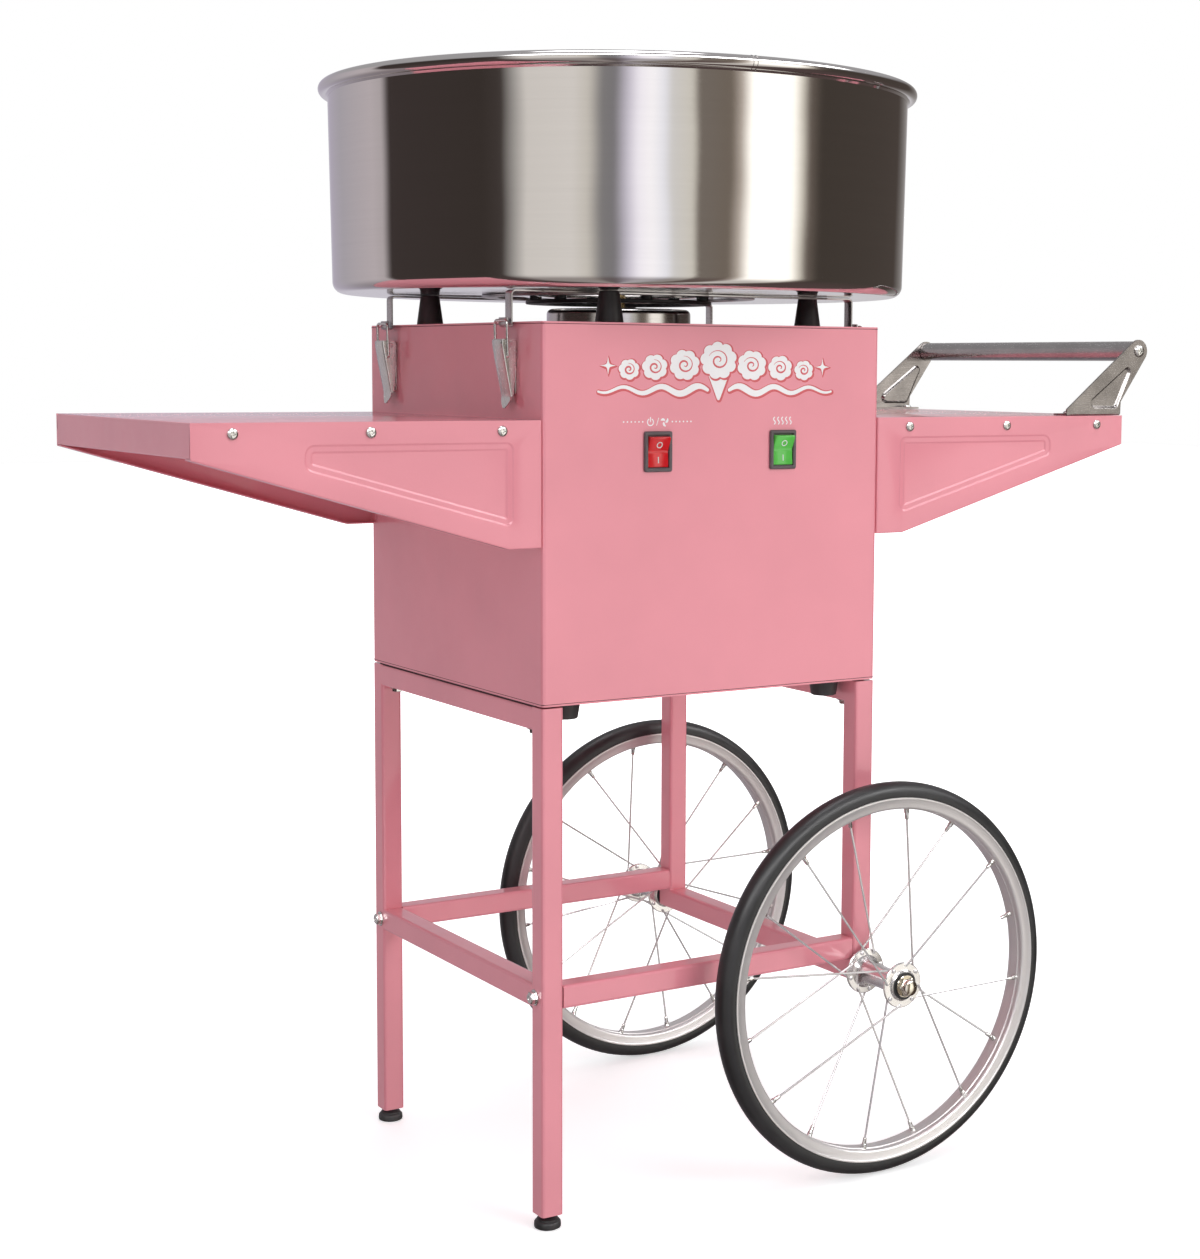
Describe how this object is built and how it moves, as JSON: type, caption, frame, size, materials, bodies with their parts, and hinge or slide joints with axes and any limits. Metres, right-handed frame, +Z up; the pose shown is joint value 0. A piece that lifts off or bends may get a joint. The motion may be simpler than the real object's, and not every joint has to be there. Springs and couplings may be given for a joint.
{
  "type": "cotton candy machine",
  "caption": "Spun-sugar machine: a round steel bowl over a spinning head on a painted cabinet, carried by a two-wheeled cart with side trays and a push handle.",
  "frame": {"origin": "on the ground under the middle of the overall bounding box, 16.5 mm to the left of the cabinet's centre plane", "axes": "+Z up, -Y out of the front panel with the switches, +X towards the wheels and the push handle"},
  "size_m": [0.963, 0.5322, 0.9723],
  "materials": {
    "pink_paint": "smooth semi-gloss powder coat",
    "polished_steel": "polished stainless steel with a fine vertical grain",
    "brushed_steel": "brushed stainless steel",
    "chrome": "bright zinc or chrome plate",
    "aluminium": "satin aluminium",
    "brass": "turned brass",
    "cast_metal": "dark cast metal",
    "tyre_rubber": "satin solid rubber",
    "black_rubber": "matt moulded rubber",
    "switch_plastic": "dark grey moulded plastic",
    "red_plastic": "translucent glossy red",
    "green_plastic": "translucent glossy green",
    "black_plastic": "black moulded plastic"
  },
  "bodies": {
    "cart": {"left_end_frame": "pink_paint", "right_end_frame": "pink_paint", "front_rail": "pink_paint", "back_rail": "pink_paint", "axle": "chrome", "axle_nut_front": "chrome", "axle_nut_back": "chrome", "cabinet_shell": "pink_paint", "cabinet_top": "pink_paint", "cabinet_base": "pink_paint", "cabinet_foot_front_left": "black_rubber", "cabinet_foot_front_right": "black_rubber", "cabinet_foot_back_left": "black_rubber", "cabinet_foot_back_right": "black_rubber", "bowl_support_front_left": "black_rubber", "bowl_support_front_right": "black_rubber", "bowl_support_back_left": "black_rubber", "bowl_support_back_right": "black_rubber", "switch_frame_motor": "switch_plastic", "switch_frame_heat": "switch_plastic", "power_inlet": "black_plastic", "latch_base_front_left": "chrome", "latch_base_front_right": "chrome", "latch_base_back_left": "chrome", "latch_base_back_right": "chrome", "splash_dish": "polished_steel", "motor": "cast_metal", "tray_top_left": "pink_paint", "tray_top_right": "pink_paint", "tray_plate_front_left": "pink_paint", "tray_plate_front_right": "pink_paint", "tray_plate_back_left": "pink_paint", "tray_plate_back_right": "pink_paint", "handle_bracket_front": "brushed_steel", "handle_bracket_back": "brushed_steel", "handle_bar": "brushed_steel"},
    "wheel_front": {"tyre_front": "tyre_rubber", "rim_front": "aluminium", "hub_front": "chrome"},
    "wheel_back": {"tyre_back": "tyre_rubber", "rim_back": "aluminium", "hub_back": "chrome"},
    "spinner": {"motor_shaft": "brass", "spinner_base": "aluminium", "heating_ring": "cast_metal", "spinner_cover": "aluminium"},
    "rocker_motor": {"rocker_motor": "red_plastic"},
    "rocker_heat": {"rocker_heat": "green_plastic"},
    "lever_front_left": {"latch_lever_front_left": "chrome"},
    "loop_front_left": {"latch_loop_front_left": "chrome"},
    "lever_front_right": {"latch_lever_front_right": "chrome"},
    "loop_front_right": {"latch_loop_front_right": "chrome"},
    "lever_back_left": {"latch_lever_back_left": "chrome"},
    "loop_back_left": {"latch_loop_back_left": "chrome"},
    "lever_back_right": {"latch_lever_back_right": "chrome"},
    "loop_back_right": {"latch_loop_back_right": "chrome"},
    "bowl": {"bowl": "polished_steel", "hook_frame": "brushed_steel"},
    "foot_front": {"levelling_foot_front": "black_rubber"},
    "foot_back": {"levelling_foot_back": "black_rubber"}
  },
  "joints": [
    {"name": "wheel_front_spin", "type": "hinge", "parent": "cart", "child": "wheel_front", "pos_m": [0.1435, -0.201, 0.1785], "axis": [0, 1, 0], "continuous": true},
    {"name": "wheel_back_spin", "type": "hinge", "parent": "cart", "child": "wheel_back", "pos_m": [0.1435, 0.201, 0.1785], "axis": [0, 1, 0], "continuous": true},
    {"name": "spinner_spin", "type": "hinge", "parent": "cart", "child": "spinner", "pos_m": [-0.0165, 0, 0.8], "axis": [0, 0, 1], "continuous": true},
    {"name": "rocker_motor_tilt", "type": "hinge", "parent": "cart", "child": "rocker_motor", "pos_m": [-0.077, -0.1685, 0.654], "axis": [-1, 0, 0], "range_deg": [0, 18]},
    {"name": "rocker_heat_tilt", "type": "hinge", "parent": "cart", "child": "rocker_heat", "pos_m": [0.05, -0.1685, 0.654], "axis": [-1, 0, 0], "range_deg": [0, 18]},
    {"name": "latch_front_left_swing", "type": "hinge", "parent": "cart", "child": "lever_front_left", "pos_m": [-0.1935, -0.117, 0.7425], "axis": [0, 1, 0], "range_deg": [0, 100]},
    {"name": "loop_front_left_swing", "type": "hinge", "parent": "lever_front_left", "child": "loop_front_left", "pos_m": [-0.1965, -0.117, 0.732], "axis": [0, 1, 0], "range_deg": [-100, 0]},
    {"name": "latch_front_right_swing", "type": "hinge", "parent": "cart", "child": "lever_front_right", "pos_m": [0.1605, -0.117, 0.7425], "axis": [0, -1, 0], "range_deg": [0, 100]},
    {"name": "loop_front_right_swing", "type": "hinge", "parent": "lever_front_right", "child": "loop_front_right", "pos_m": [0.1635, -0.117, 0.732], "axis": [0, -1, 0], "range_deg": [-100, 0]},
    {"name": "latch_back_left_swing", "type": "hinge", "parent": "cart", "child": "lever_back_left", "pos_m": [-0.1935, 0.117, 0.7425], "axis": [0, 1, 0], "range_deg": [0, 100]},
    {"name": "loop_back_left_swing", "type": "hinge", "parent": "lever_back_left", "child": "loop_back_left", "pos_m": [-0.1965, 0.117, 0.732], "axis": [0, 1, 0], "range_deg": [-100, 0]},
    {"name": "latch_back_right_swing", "type": "hinge", "parent": "cart", "child": "lever_back_right", "pos_m": [0.1605, 0.117, 0.7425], "axis": [0, -1, 0], "range_deg": [0, 100]},
    {"name": "loop_back_right_swing", "type": "hinge", "parent": "lever_back_right", "child": "loop_back_right", "pos_m": [0.1635, 0.117, 0.732], "axis": [0, -1, 0], "range_deg": [-100, 0]},
    {"name": "bowl_lift", "type": "slide", "parent": "cart", "child": "bowl", "axis": [0, 0, 1], "range_m": [0, 0.15]},
    {"name": "foot_front_screw", "type": "slide", "parent": "cart", "child": "foot_front", "axis": [0, 0, -1], "range_m": [-0.002, 0.015]},
    {"name": "foot_back_screw", "type": "slide", "parent": "cart", "child": "foot_back", "axis": [0, 0, -1], "range_m": [-0.002, 0.015]}
  ],
  "couplings": [
    {"joint": "loop_front_left_swing", "follows": "latch_front_left_swing", "ratio": -1},
    {"joint": "loop_front_right_swing", "follows": "latch_front_right_swing", "ratio": -1},
    {"joint": "loop_back_left_swing", "follows": "latch_back_left_swing", "ratio": -1},
    {"joint": "loop_back_right_swing", "follows": "latch_back_right_swing", "ratio": -1}
  ]
}
